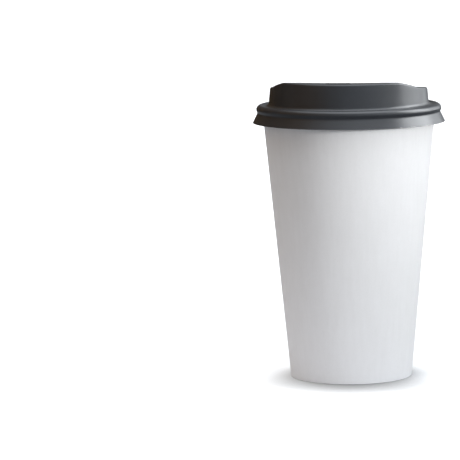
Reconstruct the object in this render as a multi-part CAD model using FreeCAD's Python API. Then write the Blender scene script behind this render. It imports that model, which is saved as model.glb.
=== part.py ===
import FreeCAD, Part
import math
import os

# Paper hot-drink cup of about 0.47 litre with its sip-through lid.
# Units are millimetres. Z is up, the foot stands on Z = 0 and the cup's axis is the Z axis.
# The sip opening faces -Y, and the side wall's glued seam is at the back, on +Y.
#
# The cup is two pieces of coated board. The side wall is one blank, wrapped to a cone: its top
# is rolled outwards into the rim and its foot is folded inwards and up. The base is a disc with
# a turned-down skirt, which the wall's fold clamps. The lid is one thin moulded skin.

# Cup sizes
CUP_HEIGHT = 135.9        # table to the top of the rolled rim
RIM_WIDTH = 90.0          # across the rolled rim
FOOT_WIDTH = 60.6         # across the foot, where the wall's outer face meets the table
BOARD = 0.45              # board of the side wall
BASE_BOARD = 0.35         # board of the base
RIM_ROLL_R = 1.2          # outer radius of the rim's roll
ROLL_END_GAP = 0.12       # between the roll's free edge and the wall
FOOT_R = 0.4              # rounding of the folded foot
FOLD_HEIGHT = 6.0         # top of the part of the wall that is folded in
BASE_RECESS = 7.0         # table to the underside of the base disc
BASE_BEND_R = 1.0         # outer radius where the disc turns down into its skirt
BASE_SKIRT_END = 1.0      # lower edge of the base's skirt
GLUE_LINE = 0.03          # sealing film between the layers at the foot

# Side seam of the wall
SEAM_WIDTH = 7.0          # overlap of the blank
SEAM_BLEND = 3.5          # width over which the outer layer rises onto the inner one
SEAM_STEP = 0.3           # how far the pressed overlap stands proud
SEAM_ROOT = 0.2           # how deep the overlap's strip is rooted in the wall
SEAM_FOOT_Z = 0.7         # lower end of the raised overlap
SEAM_RIM_GAP = 0.4        # between the raised overlap and the rim's roll

# Lid sizes
LID_SKIN = 0.4            # thickness of the moulded skin
LID_SEAT_GAP = 0.1        # between the rim's top and the lid's inside at rest
LID_RUN_GAP = 0.15        # between the rim and the lid's waist, all round
LID_BULGE_ROOM = 0.6      # between the rim and the inside of the lid's bulge
BULGE_R = 2.2             # outer radius of the bulge's section over the rim
WAIST_R = 1.3             # hollow rounding of the waist under the bulge
SKIRT_DROP = 8.3          # rim's top down to the skirt's free edge
SKIRT_FLARE = 2.25        # how far the skirt's free edge stands out past the waist
GROOVE_R = 2.0            # hollow rounding between the bulge and the crown's wall
CROWN_SET_IN = 6.4        # rim's edge in to the crown's wall, carried up to the sip ledge's level
CROWN_DRAFT = 5.8         # degrees, draft of the crown's wall
LEDGE_RISE = 12.9         # rim's top up to the sip ledge
RING_RISE = 8.85          # rim's top up to the ring, at the lid's two sides
RING_SLOPE = 4.1          # degrees, fall of the ring from the front to the back
RAMP_SET_IN = 13.4        # crown's wall in to where the sip ledge starts to ramp down
RAMP_SLOPE = 14.6         # degrees, slope of the ramps at the ledge's two ends
RAMP_TOP_R = 3.0          # rounding at the top of the ramps
RAMP_FOOT_R = 9.0         # hollow rounding at the foot of the ramps
EDGE_R = 1.05             # rounding of the crown's top edges
DECK_RISE = 2.3           # rim's top up to the deck of the well
WELL_RING = 3.6           # width of the ring at the lid's two sides, from the crown's wall to the well
WELL_DRAFT = 6.0          # degrees, draft of the well's wall
LEDGE_DEPTH = 11.8        # crown's wall in to the sip ledge's inner edge, at the front
WELL_FRONT_R = 86.6       # plan radius of the sip ledge's inner edge
WELL_FRONT_DRAFT = 12.0   # degrees, draft of the wall under that edge
WELL_CORNER_R = 4.0       # plan rounding where that wall meets the ring's wall
WELL_FLOOR_R = 1.6        # hollow rounding round the deck
SIP_LENGTH = 13.0         # sip opening, along X
SIP_WIDTH = 5.0           # sip opening, along Y
SIP_SET_IN = 5.9          # crown's wall in to the middle of the sip opening
VENT_DIAMETER = 1.8       # air hole in the deck
VENT_SET_IN = 16.6        # crown's wall in to the air hole, at the back

# Construction
REACH = RIM_WIDTH         # past the part on every side, for tools that cut right across
OVER = 2.0                # how far a cutting tool runs past the face that it leaves by
SKIN_OVERRUN = 1.0        # how far the inner skin runs down past the skirt's free edge
ORIGIN = FreeCAD.Vector(0, 0, 0)
Z_AXIS = FreeCAD.Vector(0, 0, 1)


class Flat:
    """A drawing plane through the Z axis: turns 2-D points into edges, faces and solids."""

    def __init__(self, place):
        self.place = place

    def line(self, start, end):
        return Part.makeLine(self.place(start), self.place(end))

    def arc(self, centre, radius, start, end):
        """Arc from one angle to another, in degrees, through the angle half-way between."""
        ends = [self.place(polar(centre, radius, angle)) for angle in (start, (start + end) / 2, end)]
        return Part.Arc(*ends).toShape()

    def chain(self, points):
        return [self.line(a, b) for a, b in zip(points, points[1:])]


RADIAL = Flat(lambda p: FreeCAD.Vector(p[0], 0, p[1]))
SIDEWAYS = Flat(lambda p: FreeCAD.Vector(0, p[0], p[1]))


def polar(centre, radius, angle):
    turn = math.radians(angle)
    return centre[0] + radius * math.cos(turn), centre[1] + radius * math.sin(turn)


def direction(start, end):
    """Angle in degrees of the way from one point to another."""
    return math.degrees(math.atan2(end[1] - start[1], end[0] - start[0]))


def outline(edges):
    return Part.Face(Part.Wire(edges))


def revolve(edges):
    return outline(edges).revolve(ORIGIN, Z_AXIS, 360)


# Shared lines of the cup's wall
ROLL_CENTRE = (RIM_WIDTH / 2 - RIM_ROLL_R, CUP_HEIGHT - RIM_ROLL_R)


def wall_lean():
    """Lean of the wall from upright, in degrees: its inner face is tangent to the rim's roll."""
    across = ROLL_CENTRE[0] - FOOT_WIDTH / 2
    reach = math.hypot(across, ROLL_CENTRE[1])
    return math.degrees(math.atan2(across, ROLL_CENTRE[1]) - math.asin((RIM_ROLL_R - BOARD) / reach))


LEAN = wall_lean()


def wall_r(depth, z):
    """Radius at height z of the cone that lies a given depth inside the wall's outer face."""
    lean = math.radians(LEAN)
    return FOOT_WIDTH / 2 + z * math.tan(lean) - depth / math.cos(lean)


SKIRT_OUTER = BOARD + GLUE_LINE                 # depths of the layers at the foot
SKIRT_INNER = SKIRT_OUTER + BASE_BOARD
FOLD_OUTER = SKIRT_INNER + GLUE_LINE
FOLD_INNER = FOLD_OUTER + BOARD


def make_cup_wall():
    """Side wall in one piece: rolled rim, cone, and the foot folded in round the base's skirt."""
    outward, inward = -LEAN, 180 - LEAN
    inner_roll_r = RIM_ROLL_R - BOARD
    roll_end = inward + math.degrees(math.acos((inner_roll_r - ROLL_END_GAP) / RIM_ROLL_R)) - 360
    outer_foot = (wall_r(FOOT_R, FOOT_R), FOOT_R)
    inner_foot = (wall_r(FOLD_INNER - FOOT_R, FOOT_R), FOOT_R)
    fold_floor = BOARD

    edges = [RADIAL.arc(outer_foot, FOOT_R, -90, outward)]
    edges += RADIAL.chain([polar(outer_foot, FOOT_R, outward), polar(ROLL_CENTRE, inner_roll_r, inward)])
    edges.append(RADIAL.arc(ROLL_CENTRE, inner_roll_r, inward, roll_end))
    free_edge = [polar(ROLL_CENTRE, radius, roll_end) for radius in (inner_roll_r, RIM_ROLL_R)]
    edges += RADIAL.chain(free_edge)
    edges.append(RADIAL.arc(ROLL_CENTRE, RIM_ROLL_R, roll_end, inward))
    edges += RADIAL.chain([
        polar(ROLL_CENTRE, RIM_ROLL_R, inward),
        (wall_r(BOARD, fold_floor), fold_floor),
        (wall_r(FOLD_OUTER, fold_floor), fold_floor),
        (wall_r(FOLD_OUTER, FOLD_HEIGHT), FOLD_HEIGHT),
        (wall_r(FOLD_INNER, FOLD_HEIGHT), FOLD_HEIGHT),
        polar(inner_foot, FOOT_R, inward),
    ])
    edges.append(RADIAL.arc(inner_foot, FOOT_R, inward, 270))
    edges += RADIAL.chain([(inner_foot[0], 0), (outer_foot[0], 0)])
    return revolve(edges).fuse(make_seam()).removeSplitter()


def make_seam():
    """Raised strip where the blank overlaps itself: a cut edge on one side, a slope on the other."""
    top = ROLL_CENTRE[1] - RIM_ROLL_R - SEAM_RIM_GAP
    return Part.makeLoft([seam_section(SEAM_FOOT_Z), seam_section(top)], True, True)


def seam_section(z):
    face_r = wall_r(0, z)
    proud, root = face_r + SEAM_STEP, face_r - SEAM_ROOT
    plan = Flat(lambda p: FreeCAD.Vector(p[0], p[1], z))
    half = math.degrees(SEAM_WIDTH / 2 / face_r)
    cut_side, slope_top = 90 - half, 90 + half
    slope_foot = slope_top + math.degrees(SEAM_BLEND / face_r)
    centre = (0, 0)
    return Part.Wire([
        plan.arc(centre, proud, cut_side, slope_top),
        plan.line(polar(centre, proud, slope_top), polar(centre, root, slope_foot)),
        plan.arc(centre, root, slope_foot, cut_side),
        plan.line(polar(centre, root, cut_side), polar(centre, proud, cut_side)),
    ])


def make_cup_base():
    """Disc with a turned-down skirt, which stands between the wall and the wall's fold."""
    top = BASE_RECESS + BASE_BOARD
    bend = (wall_r(SKIRT_OUTER + BASE_BEND_R, top - BASE_BEND_R), top - BASE_BEND_R)
    inner_bend_r = BASE_BEND_R - BASE_BOARD
    edges = RADIAL.chain([(0, BASE_RECESS), (0, top), (bend[0], top)])
    edges.append(RADIAL.arc(bend, BASE_BEND_R, 90, -LEAN))
    edges += RADIAL.chain([
        polar(bend, BASE_BEND_R, -LEAN),
        (wall_r(SKIRT_OUTER, BASE_SKIRT_END), BASE_SKIRT_END),
        (wall_r(SKIRT_INNER, BASE_SKIRT_END), BASE_SKIRT_END),
        polar(bend, inner_bend_r, -LEAN),
    ])
    edges.append(RADIAL.arc(bend, inner_bend_r, -LEAN, 90))
    edges += RADIAL.chain([(bend[0], BASE_RECESS), (0, BASE_RECESS)])
    return revolve(edges)


# Shared lines of the lid. Each rounding's centre serves the outer skin and the inner skin alike,
# so the skin keeps its thickness round every bend.
LEDGE_Z = CUP_HEIGHT + LEDGE_RISE
RING_Z = CUP_HEIGHT + RING_RISE
DECK_Z = CUP_HEIGHT + DECK_RISE
SKIRT_Z = CUP_HEIGHT - SKIRT_DROP
CROWN_TOP_R = RIM_WIDTH / 2 - CROWN_SET_IN
RAMP_START = CROWN_TOP_R - RAMP_SET_IN
WELL_FRONT = CROWN_TOP_R - LEDGE_DEPTH
SIP_FORWARD = CROWN_TOP_R - SIP_SET_IN
VENT_BACK = CROWN_TOP_R - VENT_SET_IN
WAIST_RADIUS = RIM_WIDTH / 2 + LID_RUN_GAP + LID_SKIN
BULGE_CENTRE = (
    RIM_WIDTH / 2 + LID_BULGE_ROOM + LID_SKIN - BULGE_R,
    CUP_HEIGHT + LID_SEAT_GAP + LID_SKIN - BULGE_R,
)


def crown_r(z):
    """Radius of the crown's outer wall at a height."""
    return CROWN_TOP_R + (LEDGE_Z - z) * math.tan(math.radians(CROWN_DRAFT))


def waist_centre():
    """Centre of the waist's rounding, which touches the bulge's rounding."""
    across = WAIST_RADIUS + WAIST_R
    reach = BULGE_R + WAIST_R
    return across, BULGE_CENTRE[1] - math.sqrt(reach ** 2 - (across - BULGE_CENTRE[0]) ** 2)


def groove_centre():
    """Centre of the groove's rounding, which touches the bulge's rounding and the crown's wall."""
    draft = math.radians(CROWN_DRAFT)
    slope = math.tan(draft)
    across = crown_r(BULGE_CENTRE[1]) + GROOVE_R / math.cos(draft) - BULGE_CENTRE[0]
    reach = BULGE_R + GROOVE_R
    square = 1 + slope ** 2
    rise = (across * slope + math.sqrt(square * reach ** 2 - across ** 2)) / square
    return BULGE_CENTRE[0] + across - rise * slope, BULGE_CENTRE[1] + rise


def lid_outline(inset):
    """Half section of the lid's skin, without its top, moved inwards by an inset."""
    waist, groove = waist_centre(), groove_centre()
    hem = (WAIST_RADIUS + SKIRT_FLARE, SKIRT_Z)
    skirt_side = direction(waist, hem) - math.degrees(math.acos(WAIST_R / math.dist(waist, hem)))
    bulge_side = direction(waist, BULGE_CENTRE)
    groove_side = direction(BULGE_CENTRE, groove)
    crown_side = 180 + CROWN_DRAFT
    along_skirt = skirt_side + 90

    skirt_end = polar(hem, inset, skirt_side)
    if inset:
        skirt_end = polar(skirt_end, SKIN_OVERRUN, along_skirt)
    skirt_top = polar(waist, WAIST_R + inset, skirt_side)
    top_z = LEDGE_Z + OVER
    crown_foot = polar(groove, GROOVE_R + inset, crown_side)
    crown_top = (crown_r(top_z) - inset / math.cos(math.radians(CROWN_DRAFT)), top_z)

    edges = RADIAL.chain([(0, skirt_end[1]), skirt_end, skirt_top])
    edges.append(RADIAL.arc(waist, WAIST_R + inset, skirt_side, bulge_side - 360))
    edges.append(RADIAL.arc(BULGE_CENTRE, BULGE_R - inset, bulge_side - 180, groove_side))
    edges.append(RADIAL.arc(groove, GROOVE_R + inset, groove_side + 180, crown_side))
    edges += RADIAL.chain([crown_foot, crown_top, (0, top_z), (0, skirt_end[1])])
    return edges


def ring_z(y):
    """Height of the ring's sloping plane, which falls towards the back."""
    return RING_Z - y * math.tan(math.radians(RING_SLOPE))


def ramp_foot_centre():
    """Centre of the hollow rounding that touches the ramp and the ring's plane."""
    ramp, fall = math.radians(RAMP_SLOPE), math.radians(RING_SLOPE)
    over_ring = RING_Z + RAMP_FOOT_R / math.cos(fall) - (LEDGE_Z - RAMP_TOP_R)
    across = RAMP_TOP_R + RAMP_FOOT_R - RAMP_START * math.sin(ramp) - over_ring * math.cos(ramp)
    y = across / (math.sin(ramp) - math.tan(fall) * math.cos(ramp))
    return y, ring_z(y) + RAMP_FOOT_R / math.cos(fall)


def make_top_slice(inset):
    """Everything above the sip ledge, its two ramps and the ring, as one long cutting tool."""
    head, foot = (-RAMP_START, LEDGE_Z - RAMP_TOP_R), ramp_foot_centre()
    head_r, foot_r = RAMP_TOP_R - inset, RAMP_FOOT_R + inset
    ramp_up, ring_up = 90 - RAMP_SLOPE, 90 - RING_SLOPE
    ring_start = polar(foot, foot_r, ring_up - 180)
    ring_end = (REACH, ring_z(REACH) - inset / math.cos(math.radians(RING_SLOPE)))
    front, roof = (-REACH, LEDGE_Z - inset), LEDGE_Z + 2 * OVER
    edges = SIDEWAYS.chain([front, (head[0], LEDGE_Z - inset)])
    edges.append(SIDEWAYS.arc(head, head_r, 90, ramp_up))
    edges += SIDEWAYS.chain([polar(head, head_r, ramp_up), polar(foot, foot_r, ramp_up - 180)])
    edges.append(SIDEWAYS.arc(foot, foot_r, ramp_up - 180, ring_up - 180))
    edges += SIDEWAYS.chain([ring_start, ring_end, (REACH, roof), (-REACH, roof), front])
    tool = outline(edges).extrude(FreeCAD.Vector(2 * REACH, 0, 0))
    tool.translate(FreeCAD.Vector(-REACH, 0, 0))
    return tool


def drafted_cone(centre_y, radius, at_z, draft, inset):
    """Cone that narrows downwards, with a stated radius at a height, grown by an inset."""
    draft = math.radians(draft)
    low, high = DECK_Z - inset, LEDGE_Z + OVER
    grown = radius + inset / math.cos(draft)
    radii = [grown + (z - at_z) * math.tan(draft) for z in (low, high)]
    return Part.makeCone(radii[0], radii[1], high - low, FreeCAD.Vector(0, centre_y, low))


def make_well(inset):
    """The well inside the ring, bounded in front by the sip ledge's bowed inner edge."""
    ring_side = drafted_cone(0, crown_r(RING_Z) - WELL_RING, RING_Z, WELL_DRAFT, inset)
    front_side = drafted_cone(WELL_FRONT_R - WELL_FRONT, WELL_FRONT_R, LEDGE_Z, WELL_FRONT_DRAFT, inset)
    well = ring_side.common(front_side)
    corners = [e for e in well.Edges if e.BoundBox.ZLength > RING_Z - DECK_Z and e.BoundBox.YMax < 0]
    well = well.makeFillet(WELL_CORNER_R + inset, corners)
    floor = [e for e in well.Edges if e.BoundBox.ZMax < DECK_Z - inset + WELL_FLOOR_R / 2]
    return well.makeFillet(WELL_FLOOR_R + inset, floor)


def lid_form(inset):
    """The lid as a solid block, bounded by its skin moved inwards by an inset."""
    block = revolve(lid_outline(inset)).cut(make_top_slice(inset)).cut(make_well(inset))
    low = ring_z(crown_r(RING_Z)) - inset - EDGE_R / 2
    rims = [e for e in block.Edges if e.BoundBox.ZMin > low]
    return block.makeFillet(EDGE_R - inset, rims)


def make_sip_hole():
    """Rounded slot through the sip ledge."""
    half, radius = (SIP_LENGTH - SIP_WIDTH) / 2, SIP_WIDTH / 2
    base = LEDGE_Z - RAMP_TOP_R
    plan = Flat(lambda p: FreeCAD.Vector(p[0], p[1], base))
    left, right = (-half, -SIP_FORWARD), (half, -SIP_FORWARD)
    slot = [
        plan.line(polar(left, radius, -90), polar(right, radius, -90)),
        plan.arc(right, radius, -90, 90),
        plan.line(polar(right, radius, 90), polar(left, radius, 90)),
        plan.arc(left, radius, 90, 270),
    ]
    return outline(slot).extrude(FreeCAD.Vector(0, 0, RAMP_TOP_R + OVER))


def make_vent():
    """Small air hole through the deck, behind the axis."""
    low = DECK_Z - LID_SKIN - OVER
    return Part.makeCylinder(VENT_DIAMETER / 2, LID_SKIN + 2 * OVER, FreeCAD.Vector(0, VENT_BACK, low))


def make_lid():
    """Thin skin between the lid's outer and inner forms, with its two holes."""
    skin = lid_form(0).cut(lid_form(LID_SKIN))
    return skin.cut(make_sip_hole()).cut(make_vent())


def main():
    os.makedirs("parts", exist_ok=True)
    for name, make in (("cup_wall", make_cup_wall), ("cup_base", make_cup_base), ("lid", make_lid)):
        shape = make()
        solids = shape.Solids
        if len(solids) != 1 or not shape.isValid():
            raise RuntimeError(f"{name}: {len(solids)} solids, valid {shape.isValid()}")
        solids[0].exportStep(f"parts/{name}.step")
        print(name, "volume", round(solids[0].Volume, 1), "area", round(solids[0].Area, 1))


main()
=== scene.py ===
"""Paper hot-drink cup with its sip lid: smooth surfaces, finishes, soft light and the camera.

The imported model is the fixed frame. The side wall and the base are turned round the cup's axis
from their half sections, and the lid is a smoothed copy of its solid. Sizes of the sections and of
the camera are in millimetres, those of the sections in the names of the part's source. Everything
else is in metres, with Z up.
"""

from __future__ import annotations

import logging
import math
from dataclasses import dataclass
from enum import Enum

import bmesh
import bpy
from mathutils import Matrix, Vector


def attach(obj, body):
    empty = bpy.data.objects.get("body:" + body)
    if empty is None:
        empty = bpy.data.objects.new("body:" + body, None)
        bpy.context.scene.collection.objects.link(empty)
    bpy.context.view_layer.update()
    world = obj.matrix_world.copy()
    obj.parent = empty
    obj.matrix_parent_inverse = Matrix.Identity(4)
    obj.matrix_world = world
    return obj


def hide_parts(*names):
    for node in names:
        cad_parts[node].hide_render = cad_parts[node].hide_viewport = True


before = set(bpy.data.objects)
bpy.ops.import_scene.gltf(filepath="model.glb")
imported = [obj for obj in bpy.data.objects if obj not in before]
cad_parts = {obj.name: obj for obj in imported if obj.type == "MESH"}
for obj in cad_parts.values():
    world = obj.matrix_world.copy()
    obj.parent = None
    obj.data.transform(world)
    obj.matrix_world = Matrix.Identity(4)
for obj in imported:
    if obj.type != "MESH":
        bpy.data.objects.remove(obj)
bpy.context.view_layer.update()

MM = 0.001
FULL_TURN = 2 * math.pi
FLOAT = "NodeSocketFloat"
VECTOR = "NodeSocketVector"
LOG = logging.getLogger("paper_cup")

Point = tuple[float, float]
Colour = tuple[float, float, float]
Vector3 = tuple[float, float, float]
Socket = bpy.types.NodeSocket
Input = float | Socket

WINDOW_AIM: Vector3 = (0.0, 0.0, 0.84)
CUP_AIM: Vector3 = (0.0, 0.0, 0.06)
LID_AIM: Vector3 = (0.0, 0.0, 0.14)
SHINE_TONE: Colour = (0.95, 0.98, 1.0)


class BoardFace(Enum):
    """Which face of the board a part of a section shows: how much sealing film it carries."""

    PLAIN = 0.0
    CUT_EDGE = 0.5
    COATED = 1.0


def polar(centre: Point, radius: float, angle: float) -> Point:
    """Point on a circle.

    Args:
        centre: Centre of the circle.
        radius: Radius of the circle.
        angle: Angle in degrees.

    Returns:
        The point's two coordinates.
    """
    turn = math.radians(angle)
    return centre[0] + radius * math.cos(turn), centre[1] + radius * math.sin(turn)


def placed(name: str, data: bpy.types.ID) -> bpy.types.Object:
    """Makes an object of a mesh, lamp or camera and puts it in the scene.

    Args:
        name: Name of the object.
        data: What the object shows.

    Returns:
        The new object.
    """
    made = bpy.data.objects.new(name, data)
    bpy.context.scene.collection.objects.link(made)
    return made


class NodeBench:
    """Places and wires nodes in one tree."""

    def __init__(self, tree: bpy.types.NodeTree) -> None:
        """Starts with the given tree, whose present nodes are removed."""
        self.tree = tree
        tree.nodes.clear()

    def node(self, kind: str, **settings: object) -> bpy.types.Node:
        """Adds a node.

        Args:
            kind: Type name of the node.
            settings: Properties to set on it.

        Returns:
            The new node.
        """
        made = self.tree.nodes.new(kind)
        for name, value in settings.items():
            setattr(made, name, value)
        return made

    def fill(self, socket: Socket, value: object) -> None:
        """Gives an input socket a value or a link.

        Args:
            socket: Input socket.
            value: Output socket to link, or a plain value. A colour comes without its alpha.
        """
        if isinstance(value, Socket):
            self.tree.links.new(value, socket)
        elif socket.type == "RGBA":
            socket.default_value = (*value, 1.0)
        else:
            socket.default_value = value

    def feed(self, node: bpy.types.Node, name: str, value: object) -> None:
        """Fills the first input in use that has the given name."""
        self.fill(next(s for s in node.inputs if s.name == name and s.enabled), value)

    def made(self, kind: str, output: str, inputs: dict[str, object], **settings: object) -> Socket:
        """Adds a node, feeds its inputs by name and hands back one of its outputs.

        Args:
            kind: Type name of the node.
            output: Name of the output wanted.
            inputs: Values or links for its inputs, by name.
            settings: Properties to set on it first.

        Returns:
            The output socket.
        """
        node = self.node(kind, **settings)
        for name, value in inputs.items():
            self.feed(node, name, value)
        return next(s for s in node.outputs if s.name == output and s.enabled)

    def joined(self, kind: str, *values: object, **settings: object) -> Socket:
        """Adds a node, fills its inputs in order and hands back its first output.

        Args:
            kind: Type name of the node.
            values: Values or links for its first inputs.
            settings: Properties to set on it first.

        Returns:
            The output socket.
        """
        node = self.node(kind, **settings)
        for socket, value in zip(node.inputs, values):
            self.fill(socket, value)
        return node.outputs[0]

    def math(self, operation: str, first: Input, second: Input = 0.0) -> Socket:
        """Adds one step of arithmetic on two values or links, or on the first alone."""
        return self.joined("ShaderNodeMath", first, second, operation=operation)

    def weighed(self, share: float, first: Input, second: Input) -> Socket:
        """Adds up the given share of the first value and the rest of the second."""
        parts = self.math("MULTIPLY", first, share), self.math("MULTIPLY", second, 1 - share)
        return self.math("ADD", *parts)

    def mixed(self, share: Input, first: object, second: object) -> Socket:
        """Mixes two colours or links: a share of 0 gives the first, a share of 1 the second."""
        inputs = {"Factor": share, "A": first, "B": second}
        return self.made("ShaderNodeMix", "Result", inputs, data_type="RGBA")

    def ranged(
        self,
        value: Input,
        given: tuple[Input, Input],
        wanted: tuple[Input, Input] = (0.0, 1.0),
        **settings: object,
    ) -> Socket:
        """Maps one range of numbers onto another.

        Args:
            value: Value or link.
            given: Ends of the range that the value lies in.
            wanted: Ends of the range that it is mapped onto.
            settings: Properties to set on the node.

        Returns:
            Socket of the mapped value.
        """
        names = ("Value", "From Min", "From Max", "To Min", "To Max")
        inputs = dict(zip(names, (value, *given, *wanted)))
        return self.made("ShaderNodeMapRange", "Result", inputs, **settings)

    def eased(self, value: Input, given: Point, wanted: Point = (0.0, 1.0)) -> Socket:
        """Maps one range onto another as ranged does, with soft ends."""
        return self.ranged(value, given, wanted, interpolation_type="SMOOTHSTEP")

    def noise(self, place: Socket, scale: Input, detail: float, roughness: float = 0.5) -> Socket:
        """Adds a noise pattern of the given scale, number of finer layers and share that each keeps."""
        inputs = {"Vector": place, "Scale": scale, "Detail": detail, "Roughness": roughness}
        return self.made("ShaderNodeTexNoise", "Fac", inputs)

    def bumped(self, height: Socket, distance: float) -> Socket:
        """Turns a height from 0 to 1 into the normal of a relief of the given depth."""
        inputs = {"Height": height, "Distance": distance, "Strength": 1.0}
        return self.made("ShaderNodeBump", "Normal", inputs)

    def show(self, shader: Socket, output: str = "ShaderNodeOutputMaterial") -> None:
        """Ends the tree with an output that shows the shader."""
        self.feed(self.node(output), "Surface", shader)

    def declare(self, inputs: dict[str, str], outputs: dict[str, str]) -> tuple[bpy.types.Node, ...]:
        """Gives the tree its named inputs and outputs.

        Args:
            inputs: Socket types by name.
            outputs: Socket types by name.

        Returns:
            The group's input node and its output node.
        """
        for name, kind in inputs.items():
            self.tree.interface.new_socket(name, in_out="INPUT", socket_type=kind)
        for name, kind in outputs.items():
            self.tree.interface.new_socket(name, in_out="OUTPUT", socket_type=kind)
        return self.node("NodeGroupInput"), self.node("NodeGroupOutput")


def blank_material(name: str) -> tuple[bpy.types.Material, NodeBench]:
    """Makes a material without nodes.

    Args:
        name: Name of the material.

    Returns:
        The material and the bench of its tree.
    """
    material = bpy.data.materials.new(name)
    material.use_nodes = True
    return material, NodeBench(material.node_tree)


class HalfSection:
    """Half section of a turned piece of board, drawn point by point in millimetres."""

    def __init__(self) -> None:
        """Starts with no points."""
        self.points: list[Point] = []
        self.coated: list[float] = []
        self.crimp: list[float] = []

    def add(self, point: Point, face: BoardFace, crimp: float = 0.0) -> None:
        """Adds one point.

        Args:
            point: Radius and height.
            face: Face of the board that the point lies on.
            crimp: Share of the crimping roller's depth that reaches it.
        """
        self.points.append(point)
        self.coated.append(face.value)
        self.crimp.append(crimp)

    def run(self, start: Point, end: Point, steps: int, face: BoardFace, ends: bool = True) -> None:
        """Adds a straight run.

        Args:
            start: First point.
            end: Last point.
            steps: Number of equal steps between them.
            face: Face of the board that the run lies on.
            ends: Whether the first and the last point are added too.
        """
        for step in range(steps + 1) if ends else range(1, steps):
            share = step / steps
            point = start[0] + (end[0] - start[0]) * share, start[1] + (end[1] - start[1]) * share
            self.add(point, face)

    def arc(
        self, centre: Point, radius: float, start: float, end: float, steps: int, face: BoardFace
    ) -> None:
        """Adds an arc from one angle in degrees to another, with both of its ends."""
        for step in range(steps + 1):
            self.add(polar(centre, radius, start + (end - start) * step / steps), face)

    def as_object(self, name: str) -> bpy.types.Object:
        """Makes an object whose mesh holds the points and their attributes.

        Args:
            name: Name of the object.

        Returns:
            The new object, linked to the scene.
        """
        mesh = bpy.data.meshes.new(name)
        mesh.from_pydata([(r * MM, 0.0, z * MM) for r, z in self.points], [], [])
        for label, values in (("coated", self.coated), ("crimp", self.crimp)):
            mesh.attributes.new(label, "FLOAT", "POINT").data.foreach_set("value", values)
        return placed(name, mesh)


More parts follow.
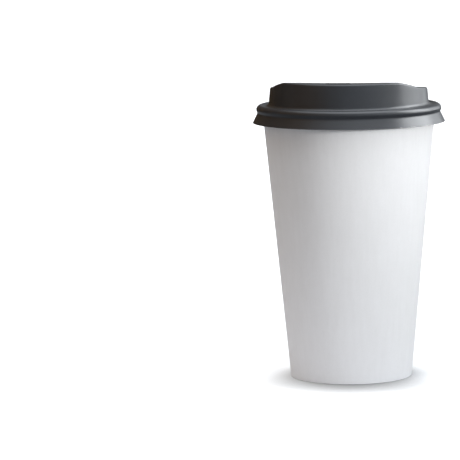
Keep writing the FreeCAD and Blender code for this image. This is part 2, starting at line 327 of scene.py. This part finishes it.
class TurnedBoard:
    """Geometry Nodes tree that turns a half section round the cup's axis."""

    INPUTS = {
        "Section": "NodeSocketGeometry",
        "Columns": "NodeSocketInt",
        "Crimps": "NodeSocketInt",
        "Crimp Depth": FLOAT,
        "Weld": FLOAT,
        "Finish": "NodeSocketMaterial",
    }

    def __init__(self) -> None:
        """Builds the tree: a grid whose every point is sent to its place on the turned section."""
        self.tree = bpy.data.node_groups.new("TurnedBoard", "GeometryNodeTree")
        self.tree.is_modifier = True
        bench = NodeBench(self.tree)
        given, result = bench.declare(self.INPUTS, {"Shell": "NodeSocketGeometry"})
        section, columns = given.outputs["Section"], given.outputs["Columns"]
        rows = bench.made("GeometryNodeAttributeDomainSize", "Point Count", {"Geometry": section})
        counts = {"Vertices X": bench.math("ADD", columns, 1.0), "Vertices Y": rows}
        grid = bench.made("GeometryNodeMeshGrid", "Mesh", {"Size X": 1.0, "Size Y": 1.0, **counts})
        index = bench.node("GeometryNodeInputIndex").outputs[0]
        column = bench.math("FLOOR", bench.math("DIVIDE", index, rows))
        row = bench.math("SUBTRACT", index, bench.math("MULTIPLY", column, rows))
        angle = bench.math("MULTIPLY", bench.math("DIVIDE", column, columns), FULL_TURN)

        position = bench.node("GeometryNodeInputPosition").outputs[0]
        place = self._sampled(bench, section, position, row, "FLOAT_VECTOR")
        crimp, coated = (
            self._sampled(bench, section, self._named(bench, name), row, "FLOAT")
            for name in ("crimp", "coated")
        )
        split = bench.node("ShaderNodeSeparateXYZ")
        bench.feed(split, "Vector", place)
        wave = bench.math("COSINE", bench.math("MULTIPLY", angle, given.outputs["Crimps"]))
        pressed = bench.math("MULTIPLY", bench.math("SUBTRACT", 1.0, wave), 0.5)
        depth = bench.math("MULTIPLY", pressed, given.outputs["Crimp Depth"])
        radius = bench.math("ADD", split.outputs["X"], bench.math("MULTIPLY", depth, crimp))
        sides = {
            "X": bench.math("MULTIPLY", radius, bench.math("COSINE", angle)),
            "Y": bench.math("MULTIPLY", radius, bench.math("SINE", angle)),
        }
        turned = bench.made("ShaderNodeCombineXYZ", "Vector", {**sides, "Z": split.outputs["Z"]})

        shell = bench.made(
            "GeometryNodeStoreNamedAttribute",
            "Geometry",
            {"Geometry": grid, "Name": "coated", "Value": coated},
            data_type="FLOAT",
            domain="POINT",
        )
        for kind, inputs in (
            ("GeometryNodeSetPosition", {"Position": turned}),
            ("GeometryNodeMergeByDistance", {"Distance": given.outputs["Weld"]}),
            ("GeometryNodeRealizeInstances", {}),
            ("GeometryNodeSetMaterial", {"Material": given.outputs["Finish"]}),
        ):
            shell = bench.made(kind, "Geometry", {"Geometry": shell, **inputs})
        bench.feed(result, "Shell", shell)

    @staticmethod
    def _named(bench: NodeBench, name: str) -> Socket:
        """Reads a number that the section carries on its points."""
        inputs = {"Name": name}
        return bench.made("GeometryNodeInputNamedAttribute", "Attribute", inputs, data_type="FLOAT")

    @staticmethod
    def _sampled(bench: NodeBench, section: Socket, value: Socket, row: Input, kind: str) -> Socket:
        """Looks a field of the given data type up on the section's point of that number."""
        inputs = {"Geometry": section, "Value": value, "Index": row}
        return bench.made("GeometryNodeSampleIndex", "Value", inputs, data_type=kind, domain="POINT")

    def turn(self, section: HalfSection, name: str, values: dict[str, object]) -> bpy.types.Object:
        """Turns a section into a piece.

        Args:
            section: Half section of the piece.
            name: Name of the piece.
            values: Values of the tree's inputs, by name.

        Returns:
            The piece as a plain mesh object.
        """
        piece = section.as_object(name)
        modifier = piece.modifiers.new("turned", "NODES")
        modifier.node_group = self.tree
        for item in self.tree.interface.items_tree:
            if item.item_type == "SOCKET" and item.in_out == "INPUT" and item.name in values:
                modifier[item.identifier] = values[item.name]
        bpy.context.view_layer.update()
        graph = bpy.context.evaluated_depsgraph_get()
        turned = piece.evaluated_get(graph)
        mesh = bpy.data.meshes.new_from_object(turned, preserve_all_data_layers=True, depsgraph=graph)
        piece.modifiers.remove(modifier)
        drawn = piece.data
        piece.data = mesh
        bpy.data.meshes.remove(drawn)
        mesh.name = name
        return piece


def shade_with_creases(mesh: bpy.types.Mesh, angle: float) -> None:
    """Shades a mesh smooth and keeps its creases.

    Args:
        mesh: Mesh to shade.
        angle: Angle in degrees from which an edge stays sharp.
    """
    mesh.shade_smooth()
    mesh.set_sharp_from_angle(angle=math.radians(angle))


@dataclass
class SurfaceGroups:
    """Shader node groups that several of the finishes use."""

    broad_share: float = 0.65
    broad_detail: float = 2.0
    fine_scale: float = 7.0
    fine_detail: float = 3.0
    cloud_range: Point = (0.3, 0.7)
    streak_share: float = 0.6
    streak_detail: float = 4.0
    streak_roughness: float = 0.62
    tooth_scale: float = 2.4
    tooth_detail: float = 3.0
    tooth_roughness: float = 0.7
    fibre_range: Point = (0.36, 0.64)

    def __post_init__(self) -> None:
        """Builds the groups."""
        self.clouding = self._clouding()
        self.fibres = self._fibres()

    def _clouding(self) -> bpy.types.ShaderNodeTree:
        """Soft uneven patches in two sizes, as a number between two limits.

        Returns:
            The group's tree.
        """
        tree = bpy.data.node_groups.new("Clouding", "ShaderNodeTree")
        bench = NodeBench(tree)
        inputs = {"Vector": VECTOR, "Scale": FLOAT, "Low": FLOAT, "High": FLOAT}
        given, result = bench.declare(inputs, {"Value": FLOAT})
        place, scale, low, high = (given.outputs[name] for name in inputs)
        broad = bench.noise(place, scale, self.broad_detail)
        fine = bench.noise(place, bench.math("MULTIPLY", scale, self.fine_scale), self.fine_detail)
        both = bench.weighed(self.broad_share, broad, fine)
        bench.feed(result, "Value", bench.ranged(both, self.cloud_range, (low, high), clamp=False))
        return tree

    def _fibres(self) -> bpy.types.ShaderNodeTree:
        """Board fibres: long faint streaks and a fine tooth, as a tint and as a height.

        Returns:
            The group's tree.
        """
        tree = bpy.data.node_groups.new("BoardFibres", "ShaderNodeTree")
        bench = NodeBench(tree)
        inputs = {"Vector": VECTOR, "Scale": FLOAT, "Stretch": FLOAT}
        given, result = bench.declare(inputs, {"Tint": FLOAT, "Height": FLOAT})
        place, scale, stretch = (given.outputs[name] for name in inputs)
        squeeze = bench.joined("ShaderNodeCombineXYZ", 1.0, 1.0, stretch)
        drawn = bench.joined("ShaderNodeVectorMath", place, squeeze, operation="MULTIPLY")
        streaks = bench.noise(drawn, scale, self.streak_detail, self.streak_roughness)
        fine_scale = bench.math("MULTIPLY", scale, self.tooth_scale)
        tooth = bench.noise(place, fine_scale, self.tooth_detail, self.tooth_roughness)
        height = bench.weighed(self.streak_share, streaks, tooth)
        bench.feed(result, "Tint", bench.ranged(height, self.fibre_range))
        bench.feed(result, "Height", height)
        return tree

    def clouds(self, bench: NodeBench, place: Socket, scale: float, limits: Point = (0.0, 1.0)) -> Socket:
        """Places the clouding group: roughly scale patches to the metre, with values round the limits."""
        inputs = {"Vector": place, "Scale": scale, "Low": limits[0], "High": limits[1]}
        return bench.made("ShaderNodeGroup", "Value", inputs, node_tree=self.clouding)


@dataclass(frozen=True)
class BoardFinish:
    """White paperboard: plain and fibrous outside, film-coated on the side of the drink."""

    name: str
    light: Colour = (0.86, 0.861, 0.86)
    shade: Colour = (0.81, 0.81, 0.805)
    cut_edge: Colour = (0.74, 0.72, 0.67)
    plain_roughness: float = 0.82
    coated_roughness: float = 0.34
    specular: float = 0.35
    cloud_scale: float = 34.0
    fibre_share: float = 0.6
    fibre_scale: float = 420.0
    fibre_stretch: float = 0.12
    fibre_height: float = 0.02 * MM
    film_hides: float = 0.8

    def build(self, groups: SurfaceGroups) -> bpy.types.Material:
        """Makes the material.

        Args:
            groups: Shared shader node groups.

        Returns:
            The board's material.
        """
        material, bench = blank_material(self.name)
        place = bench.node("ShaderNodeTexCoord").outputs["Object"]
        coated = bench.node("ShaderNodeAttribute", attribute_name="coated").outputs["Fac"]
        fibres = bench.node("ShaderNodeGroup", node_tree=groups.fibres)
        for name, value in (("Vector", place), ("Scale", self.fibre_scale), ("Stretch", self.fibre_stretch)):
            bench.feed(fibres, name, value)
        clouds = groups.clouds(bench, place, self.cloud_scale)
        grain = bench.weighed(self.fibre_share, fibres.outputs["Tint"], clouds)
        sheet = bench.mixed(grain, self.shade, self.light)
        cut = BoardFace.CUT_EDGE.value
        off_edge = bench.math("DIVIDE", bench.math("ABSOLUTE", bench.math("SUBTRACT", coated, cut)), cut)
        roughness = (self.plain_roughness, self.coated_roughness)
        kept = bench.math("SUBTRACT", 1.0, bench.math("MULTIPLY", coated, self.film_hides))
        relief = bench.math("MULTIPLY", fibres.outputs["Height"], kept)
        inputs = {
            "Base Color": bench.mixed(off_edge, self.cut_edge, sheet),
            "Roughness": bench.ranged(coated, (cut, BoardFace.COATED.value), roughness),
            "Normal": bench.bumped(relief, self.fibre_height),
            "Specular IOR Level": self.specular,
        }
        bench.show(bench.made("ShaderNodeBsdfPrincipled", "BSDF", inputs))
        return material


@dataclass(frozen=True)
class LidFinish:
    """Dark grey moulded plastic with a soft gloss."""

    name: str
    light: Colour = (0.0195, 0.0225, 0.028)
    shade: Colour = (0.015, 0.0175, 0.0215)
    tint_scale: float = 60.0
    roughness: Point = (0.29, 0.35)
    roughness_scale: float = 90.0
    refraction: float = 1.59
    ripple_scale: float = 55.0
    ripple_height: float = 0.012 * MM

    def build(self, groups: SurfaceGroups) -> bpy.types.Material:
        """Makes the material.

        Args:
            groups: Shared shader node groups.

        Returns:
            The lid's material.
        """
        material, bench = blank_material(self.name)
        place = bench.node("ShaderNodeTexCoord").outputs["Object"]
        tint = groups.clouds(bench, place, self.tint_scale)
        roughness = groups.clouds(bench, place, self.roughness_scale, self.roughness)
        ripple = groups.clouds(bench, place, self.ripple_scale)
        inputs = {
            "Base Color": bench.mixed(tint, self.shade, self.light),
            "Roughness": roughness,
            "IOR": self.refraction,
            "Normal": bench.bumped(ripple, self.ripple_height),
        }
        bench.show(bench.made("ShaderNodeBsdfPrincipled", "BSDF", inputs))
        return material


@dataclass
class BoardCup:
    """The side wall and the base, in the sizes of the part's source, in millimetres."""

    height: float = 135.9
    rim_width: float = 90.0
    foot_width: float = 60.6
    board: float = 0.45
    base_board: float = 0.35
    rim_roll_r: float = 1.2
    roll_end_gap: float = 0.12
    foot_r: float = 0.4
    fold_height: float = 6.0
    base_recess: float = 7.0
    base_bend_r: float = 1.0
    base_skirt_end: float = 1.0
    glue_line: float = 0.03
    seam_width: float = 7.0
    seam_blend: float = 3.5
    seam_step: float = 0.3
    seam_root: float = 0.2
    seam_foot_z: float = 0.7
    seam_rim_gap: float = 0.4
    seam_shoulder: Point = (0.55, 0.22)
    seam_rows: int = 25
    seam_steps: int = 8
    columns: int = 432
    wall_steps: int = 24
    foot_steps: int = 6
    roll_steps: tuple[int, int] = (22, 30)
    bend_steps: tuple[int, int] = (8, 10)
    disc_steps: int = 6
    disc_flat: float = 0.97
    crimps: int = 72
    crimp_depth: float = 0.18
    crimp_band: Point = (1.3, 5.2)
    crimp_rows: tuple[Point, ...] = (
        (1.0, 0.0),
        (0.9, 0.7),
        (0.8, 1.0),
        (0.5, 1.0),
        (0.2, 1.0),
        (0.1, 0.7),
        (0.0, 0.0),
    )
    weld: float = 0.002
    crease: float = 38.0
    wall_finish: BoardFinish = BoardFinish("wall_board")
    base_finish: BoardFinish = BoardFinish("base_board", shade=(0.77, 0.768, 0.755))

    def __post_init__(self) -> None:
        """Works out the roll's centre, the wall's lean and the layers at the foot."""
        self.roll_centre = (self.rim_width / 2 - self.rim_roll_r, self.height - self.rim_roll_r)
        across = self.roll_centre[0] - self.foot_width / 2
        reach = math.hypot(across, self.roll_centre[1])
        lean = math.atan2(across, self.roll_centre[1]) - math.asin((self.rim_roll_r - self.board) / reach)
        self.lean = math.degrees(lean)
        self.skirt_outer = self.board + self.glue_line
        self.skirt_inner = self.skirt_outer + self.base_board
        self.fold_outer = self.skirt_inner + self.glue_line
        self.fold_inner = self.fold_outer + self.board

    def wall_r(self, depth: float, z: float) -> float:
        """Radius, at a height, of the cone that lies the given depth inside the wall's outer face."""
        lean = math.radians(self.lean)
        return self.foot_width / 2 + z * math.tan(lean) - depth / math.cos(lean)

    def inside(self, depth: float, z: float) -> Point:
        """Point of a section at a height and the given depth inside the wall's outer face."""
        return self.wall_r(depth, z), z

    def wall_section(self) -> HalfSection:
        """Closed half section of the wall: foot, outer face, rolled rim, inner face and fold.

        Returns:
            The section.
        """
        plain, coated = BoardFace.PLAIN, BoardFace.COATED
        outward, inward = -self.lean, 180 - self.lean
        roll_r, inner_roll_r = self.rim_roll_r, self.rim_roll_r - self.board
        roll_end = inward + math.degrees(math.acos((inner_roll_r - self.roll_end_gap) / roll_r)) - 360
        outer_foot = self.inside(self.foot_r, self.foot_r)
        inner_foot = self.inside(self.fold_inner - self.foot_r, self.foot_r)
        wall_foot = self.inside(self.board, self.board)
        face_start = polar(outer_foot, self.foot_r, outward)
        face_end = polar(self.roll_centre, inner_roll_r, inward)
        inner_top = polar(self.roll_centre, roll_r, inward)
        section = HalfSection()
        section.arc(outer_foot, self.foot_r, -90, outward, self.foot_steps, plain)
        section.run(face_start, face_end, self.wall_steps, plain, ends=False)
        section.arc(self.roll_centre, inner_roll_r, inward, roll_end, self.roll_steps[0], plain)
        section.arc(self.roll_centre, roll_r, roll_end, inward, self.roll_steps[1], coated)
        section.run(inner_top, wall_foot, self.wall_steps, coated, ends=False)
        section.add(wall_foot, coated)
        section.add(self.inside(self.fold_outer, self.board), coated)
        section.add(self.inside(self.fold_outer, self.fold_height), coated)
        section.add(self.inside(self.fold_inner, self.fold_height), plain)
        low, high = self.crimp_band
        for share, pressed in self.crimp_rows:
            section.add(self.inside(self.fold_inner, low + (high - low) * share), plain, pressed)
        section.arc(inner_foot, self.foot_r, inward, 270, self.foot_steps, plain)
        section.add(section.points[0], plain)
        return section

    def base_section(self) -> HalfSection:
        """Half section of the base, from the axis under the disc, round the skirt and back over it.

        Returns:
            The section.
        """
        plain, coated = BoardFace.PLAIN, BoardFace.COATED
        top = self.base_recess + self.base_board
        bend = self.inside(self.skirt_outer + self.base_bend_r, top - self.base_bend_r)
        flat_r = bend[0] * self.disc_flat
        inner_r = self.base_bend_r - self.base_board
        section = HalfSection()
        section.run((0.0, self.base_recess), (flat_r, self.base_recess), self.disc_steps, plain)
        section.arc(bend, inner_r, 90, -self.lean, self.bend_steps[0], plain)
        section.add(self.inside(self.skirt_inner, self.base_skirt_end), plain)
        section.add(self.inside(self.skirt_outer, self.base_skirt_end), coated)
        section.arc(bend, self.base_bend_r, -self.lean, 90, self.bend_steps[1], coated)
        section.run((flat_r, top), (0.0, top), self.disc_steps, coated)
        return section

    def seam_ring(self) -> list[Point]:
        """Outline of the seam's strip: ways along the wall's face and heights over it.

        Returns:
            The outline's points, over the strip and back under it.
        """
        half, steps = self.seam_width / 2, self.seam_steps
        end, width = half + self.seam_blend, self.seam_width + self.seam_blend
        along, proud = self.seam_shoulder
        ring = [(-half + self.seam_width * step / steps, self.seam_step) for step in range(steps + 1)]
        ring.append((half + self.seam_blend * along, self.seam_step * proud))
        ring.append((end, -self.seam_root))
        return ring + [(end - width * step / steps, -self.seam_root) for step in range(1, steps + 1)]

    def seam_strip(self, mesh: bpy.types.Mesh) -> None:
        """Adds the raised overlap of the blank to the wall's mesh.

        Args:
            mesh: The wall's mesh, which the strip is joined to.
        """
        top = self.roll_centre[1] - self.rim_roll_r - self.seam_rim_gap
        ring = self.seam_ring()
        shell = bmesh.new()
        shell.from_mesh(mesh)
        loops = []
        for row in range(self.seam_rows):
            z = self.seam_foot_z + (top - self.seam_foot_z) * row / (self.seam_rows - 1)
            face_r = self.wall_r(0, z)
            loop = []
            for along, proud in ring:
                turn = math.pi / 2 + along / face_r
                radius = (face_r + proud) * MM
                loop.append(shell.verts.new((radius * math.cos(turn), radius * math.sin(turn), z * MM)))
            loops.append(loop)
        faces = [shell.faces.new(loops[0]), shell.faces.new(loops[-1][::-1])]
        for low, high in zip(loops, loops[1:]):
            for i in range(len(ring)):
                j = (i + 1) % len(ring)
                faces.append(shell.faces.new((low[i], high[i], high[j], low[j])))
        bmesh.ops.recalc_face_normals(shell, faces=faces)
        shell.to_mesh(mesh)
        shell.free()

    def build(self, turning: TurnedBoard, groups: SurfaceGroups) -> list[bpy.types.Object]:
        """Makes both pieces, dresses them and puts them on the cup's body.

        Args:
            turning: Tree that turns the sections.
            groups: Shared shader node groups.

        Returns:
            The wall and the base.
        """
        common = {"Columns": self.columns, "Weld": self.weld * MM}
        crimped = {"Crimps": self.crimps, "Crimp Depth": self.crimp_depth * MM}
        wall_values = {**common, **crimped, "Finish": self.wall_finish.build(groups)}
        wall = turning.turn(self.wall_section(), "cup_wall_smooth", wall_values)
        self.seam_strip(wall.data)
        smooth = {"Crimps": 0, "Crimp Depth": 0.0}
        base_values = {**common, **smooth, "Finish": self.base_finish.build(groups)}
        base = turning.turn(self.base_section(), "cup_base_smooth", base_values)
        for piece, node, slot in ((wall, "cup_wall", "wall_board"), (base, "cup_base", "base_board")):
            shade_with_creases(piece.data, self.crease)
            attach(piece, "cup")
            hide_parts(node)
        return [wall, base]


@dataclass
class SipLid:
    """The lid: a welded, smoothly shaded copy of its solid."""

    weld: float = 0.001 * MM
    crease: float = 32.0
    weight: int = 50
    finish: LidFinish = LidFinish("lid_skin")

    def build(self, groups: SurfaceGroups) -> bpy.types.Object:
        """Makes the lid's piece and puts it on the lid's body.

        Args:
            groups: Shared shader node groups.

        Returns:
            The lid.
        """
        shape = bmesh.new()
        shape.from_mesh(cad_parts["lid"].data)
        bmesh.ops.remove_doubles(shape, verts=shape.verts, dist=self.weld)
        mesh = bpy.data.meshes.new("lid_smooth")
        shape.to_mesh(mesh)
        shape.free()
        piece = placed("lid_smooth", mesh)
        shade_with_creases(mesh, self.crease)
        weighted = piece.modifiers.new("weighted", "WEIGHTED_NORMAL")
        weighted.keep_sharp = True
        weighted.weight = self.weight
        mesh.materials.append(self.finish.build(groups))
        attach(piece, "lid")
        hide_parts("lid")
        return piece


@dataclass(frozen=True)
class SoftPanel:
    """A large soft lamp that faces the cup."""

    name: str
    place: Vector3
    target: Vector3
    size: Point
    power: float
    colour: Colour
    gloss: bool = True
    diffuse: bool = True
    spread: float = 180.0

    def build(self) -> bpy.types.Object:
        """Makes the lamp.

        Returns:
            The lamp.
        """
        data = bpy.data.lights.new(self.name, "AREA")
        data.shape = "RECTANGLE"
        data.size, data.size_y = self.size
        data.energy = self.power
        data.color = self.colour
        data.spread = math.radians(self.spread)
        lamp = placed(self.name, data)
        lamp.location = self.place
        aim = Vector(self.target) - Vector(self.place)
        lamp.rotation_euler = aim.to_track_quat("-Z", "Y").to_euler()
        lamp.visible_camera = False
        lamp.visible_glossy = self.gloss
        lamp.visible_diffuse = self.diffuse
        return lamp


@dataclass(frozen=True)
class Studio:
    """Pale floor, soft light and surroundings.

    The floor and the surroundings are white to the camera. To the light that bounces they have the
    tones of a room with a window on the right. The floor carries painted shadow round the cup's foot
    and painted fill light, a glow to the camera that lightens the cup's shadow on the left.
    """

    floor_half: float = 14.0
    table_left: Colour = (0.80, 0.82, 0.88)
    table_right: Colour = (0.24, 0.24, 0.24)
    table_far: Colour = (0.24, 0.24, 0.25)
    table_blend: Point = (-0.08, 0.12)
    table_edge: Point = (0.08, 0.2)
    mirrored: Colour = (0.06, 0.068, 0.078)
    gloss_share: float = 0.12
    white_seen: Colour = (0.99, 0.99, 0.99)
    # Painted fill light: the floor glows to the camera, more on the left, lightening the cup's shadow there.
    painted_fill_glow: Point = (0.19, 0.04)
    painted_fill_blend: Point = (-0.035, 0.01)
    # Painted contact shadow: ambient occlusion darkens the floor's white round the cup's foot, reaching
    # further and deeper in front.
    painted_shadow_front: Point = (0.0, -0.045)
    painted_shadow_reach: Point = (0.014, 0.03)
    painted_shadow_depth: Point = (1.0, 2.4)
    painted_shadow_samples: int = 8
    room_tones: tuple[tuple[float, Colour], ...] = (
        (-1.0, (0.25, 0.155, 0.065)),
        (-0.7, (0.355, 0.22, 0.095)),
        (-0.25, (0.37, 0.36, 0.35)),
        (0.25, (0.62, 0.64, 0.67)),
        (0.7, (0.90, 0.94, 1.0)),
        (1.0, (0.95, 0.99, 1.04)),
    )
    room_depth: Point = (-0.4, 0.5)
    room_back: float = 0.55
    ceiling_tone: Colour = (0.765, 0.80, 0.84)
    ceiling_edge: Point = (0.66, 0.96)
    ceiling_power: float = 2.9
    ceiling_sides: Point = (-0.6, 0.6)
    ceiling_shares: Point = (0.7, 1.3)
    card_turn: Point = (-186.0, -253.0)
    card_reach: float = 1.1
    card_height: float = 0.9
    card_tone: Colour = (0.052, 0.031, 0.012)
    panels: tuple[SoftPanel, ...] = (
        SoftPanel(
            "window_panel",
            (1.55, -0.69, 0.84),
            WINDOW_AIM,
            (1.3, 1.1),
            14.2,
            (0.98, 0.99, 1.0),
            gloss=False,
            spread=32.0,
        ),
        SoftPanel("rim_panel", (-1.1, 1.2, 0.6), CUP_AIM, (0.7, 0.9), 6.0, (0.86, 0.94, 1.0), gloss=False),
        SoftPanel("shine_low", (1.5, 0.57, 0.2), LID_AIM, (1.24, 0.5), 6.4, SHINE_TONE, diffuse=False),
        SoftPanel("shine_high", (1.42, 0.54, 1.0), LID_AIM, (1.3, 1.2), 36.0, SHINE_TONE, diffuse=False),
        SoftPanel("shine_back", (0.9, 1.32, 0.45), LID_AIM, (0.74, 0.9), 3.6, SHINE_TONE, diffuse=False),
    )

    def build(self) -> None:
        """Makes the floor, the card, the lamps and the world."""
        scene = bpy.context.scene
        scene.view_settings.view_transform = "Standard"
        self._floor()
        self._dark_card()
        for panel in self.panels:
            panel.build()
        scene.world = self._world()

    @staticmethod
    def _staged(name: str, corners: list[Vector3], material: bpy.types.Material) -> bpy.types.Object:
        """Makes a flat four-sided piece of the stage.

        Args:
            name: Name of the piece.
            corners: Its four corners, in order.
            material: Its material.

        Returns:
            The piece.
        """
        mesh = bpy.data.meshes.new(name)
        mesh.from_pydata(corners, [], [(0, 1, 2, 3)])
        mesh.materials.append(material)
        piece = placed(name, mesh)
        return piece

    @staticmethod
    def _seen(bench: NodeBench, path: bpy.types.Node) -> Socket:
        """Value of 1 for rays from the camera, straight or through something clear."""
        return bench.math("MAXIMUM", path.outputs["Is Camera Ray"], path.outputs["Is Transmission Ray"])

    def _floor(self) -> None:
        """Makes the floor, white to the camera, which keeps the cup's shadow, darkened round the foot by
        painted shadow and lightened on the left by painted light.
        """
        material, bench = blank_material("pale_floor")
        path = bench.node("ShaderNodeLightPath")
        gloss = path.outputs["Is Glossy Ray"]
        spot = bench.node("ShaderNodeTexCoord").outputs["Object"]
        split = bench.node("ShaderNodeSeparateXYZ")
        bench.feed(split, "Vector", spot)
        across = split.outputs["X"]
        away = bench.made("ShaderNodeVectorMath", "Value", {"Vector": spot}, operation="LENGTH")
        table = bench.mixed(bench.eased(across, self.table_blend), self.table_left, self.table_right)
        table = bench.mixed(bench.eased(away, self.table_edge), table, self.table_far)
        table = bench.mixed(gloss, table, self.mirrored)
        mirror = bench.math("MULTIPLY", gloss, self.gloss_share)
        seen = bench.math("MAXIMUM", self._seen(bench, path), mirror)

        # Painted contact shadow: ambient occlusion, raised to a power, darkens the white that the camera
        # sees round the foot, most in front.
        ahead = bench.eased(split.outputs["Y"], self.painted_shadow_front)
        reach, depth = (
            bench.math("ADD", side, bench.math("MULTIPLY", ahead, front - side))
            for side, front in (self.painted_shadow_reach, self.painted_shadow_depth)
        )
        inputs, samples = {"Distance": reach}, self.painted_shadow_samples
        painted_contact_shadow = bench.made("ShaderNodeAmbientOcclusion", "AO", inputs, samples=samples)
        white = bench.mixed(bench.math("POWER", painted_contact_shadow, depth), (0.0, 0.0, 0.0), self.white_seen)
        matt = bench.made("ShaderNodeBsdfDiffuse", "BSDF", {"Color": bench.mixed(seen, table, white)})
        # Painted fill light: glow for the camera, stronger left of the cup, lightens the shadow cast there.
        painted_fill = bench.eased(across, self.painted_fill_blend, self.painted_fill_glow)
        strength = bench.math("MULTIPLY", seen, painted_fill)
        painted_fill_shader = bench.made("ShaderNodeEmission", "Emission", {"Strength": strength})
        bench.show(bench.joined("ShaderNodeAddShader", matt, painted_fill_shader))
        half = self.floor_half
        corners = [(-half, -half, 0.0), (half, -half, 0.0), (half, half, 0.0), (-half, half, 0.0)]
        self._staged("floor", corners, material)

    def _dark_card(self) -> None:
        """Makes the card on the left that only gloss sees, as the dark side of the room."""
        material, bench = blank_material("dark_card")
        bench.show(bench.made("ShaderNodeBsdfDiffuse", "BSDF", {"Color": self.card_tone}))
        near, far = (polar((0.0, 0.0), self.card_reach, turn) for turn in self.card_turn)
        top = self.card_height
        card = self._staged("dark_card", [(*near, 0.0), (*far, 0.0), (*far, top), (*near, top)], material)
        for ray in ("camera", "diffuse", "transmission", "shadow"):
            setattr(card, f"visible_{ray}", False)

    def _world(self) -> bpy.types.World:
        """Makes the surroundings: a room brighter on the right and darker behind, with a bright ceiling.

        Returns:
            The world.
        """
        world = bpy.data.worlds.new("studio")
        world.use_nodes = True
        bench = NodeBench(world.node_tree)
        way = bench.node("ShaderNodeSeparateXYZ")
        bench.feed(way, "Vector", bench.node("ShaderNodeTexCoord").outputs["Generated"])
        tones = bench.node("ShaderNodeValToRGB")
        bench.feed(tones, "Fac", bench.math("ADD", bench.math("MULTIPLY", way.outputs["X"], 0.5), 0.5))
        stops = tones.color_ramp.elements
        stops.remove(stops[0])
        for side, tone in self.room_tones:
            stop = stops.new(side / 2 + 0.5)
            stop.color = (*tone, 1.0)
        stops.remove(stops[-1])
        depth = bench.eased(way.outputs["Y"], self.room_depth, (1.0, self.room_back))
        overhead = bench.eased(way.outputs["Z"], self.ceiling_edge, (0.0, self.ceiling_power))
        lean = bench.ranged(way.outputs["X"], self.ceiling_sides, self.ceiling_shares)
        room, ceiling, white = (
            bench.made("ShaderNodeBackground", "Background", {"Color": colour, "Strength": strength})
            for colour, strength in (
                (tones.outputs["Color"], depth),
                (self.ceiling_tone, bench.math("MULTIPLY", overhead, lean)),
                ((1.0, 1.0, 1.0), 1.0),
            )
        )
        both = bench.joined("ShaderNodeAddShader", room, ceiling)
        seen = self._seen(bench, bench.node("ShaderNodeLightPath"))
        bench.show(bench.joined("ShaderNodeMixShader", seen, both, white), "ShaderNodeOutputWorld")
        return world


@dataclass(frozen=True)
class PhotoCamera:
    """The photograph's camera, as fitted to the cup's edges. Lengths are in millimetres."""

    distance: float = 1514.4
    height: float = 261.5
    yaw: float = -0.0396
    pitch: float = 0.1233
    roll: float = -0.015
    focal_px: float = 3049.7
    frame_px: float = 460.0
    turned: float = 8.66
    sensor: float = 36.0
    clip: Point = (50.0, 100000.0)

    def build(self) -> bpy.types.Object:
        """Makes the camera and gives it to the scene.

        Returns:
            The camera.
        """
        level = math.cos(self.pitch)
        forward = Vector((math.sin(self.yaw) * level, math.cos(self.yaw) * level, -math.sin(self.pitch)))
        level_right = forward.cross(Vector((0, 0, 1))).normalized()
        level_up = level_right.cross(forward)
        right = level_right * math.cos(self.roll) + level_up * math.sin(self.roll)
        up = level_up * math.cos(self.roll) - level_right * math.sin(self.roll)
        pose = Matrix((right, up, -forward)).transposed().to_4x4()
        pose.translation = Vector((0.0, -self.distance * MM, self.height * MM))
        data = bpy.data.cameras.new("photo_camera")
        data.sensor_width = self.sensor
        data.lens = self.sensor * self.focal_px / self.frame_px
        data.clip_start, data.clip_end = (end * MM for end in self.clip)
        camera = placed("photo_camera", data)
        camera.matrix_world = Matrix.Rotation(math.radians(self.turned), 4, "Z") @ pose
        bpy.context.scene.camera = camera
        return camera


def report(piece: bpy.types.Object) -> None:
    """Logs a piece's faces and the volume that it encloses, negative if they point inwards.

    Args:
        piece: Piece with a closed mesh, in metres.
    """
    shape = bmesh.new()
    shape.from_mesh(piece.data)
    volume = shape.calc_volume(signed=True) / MM**3
    shape.free()
    LOG.info("%s: %d faces, signed volume %.1f mm3", piece.name, len(piece.data.polygons), volume)


def main() -> None:
    """Builds the stage, the camera, the cup and the lid, and reports each piece."""
    logging.basicConfig(level=logging.INFO, format="%(name)s: %(message)s")
    Studio().build()
    PhotoCamera().build()
    groups = SurfaceGroups()
    for piece in (*BoardCup().build(TurnedBoard(), groups), SipLid().build(groups)):
        report(piece)


if __name__ == "__main__":
    main()
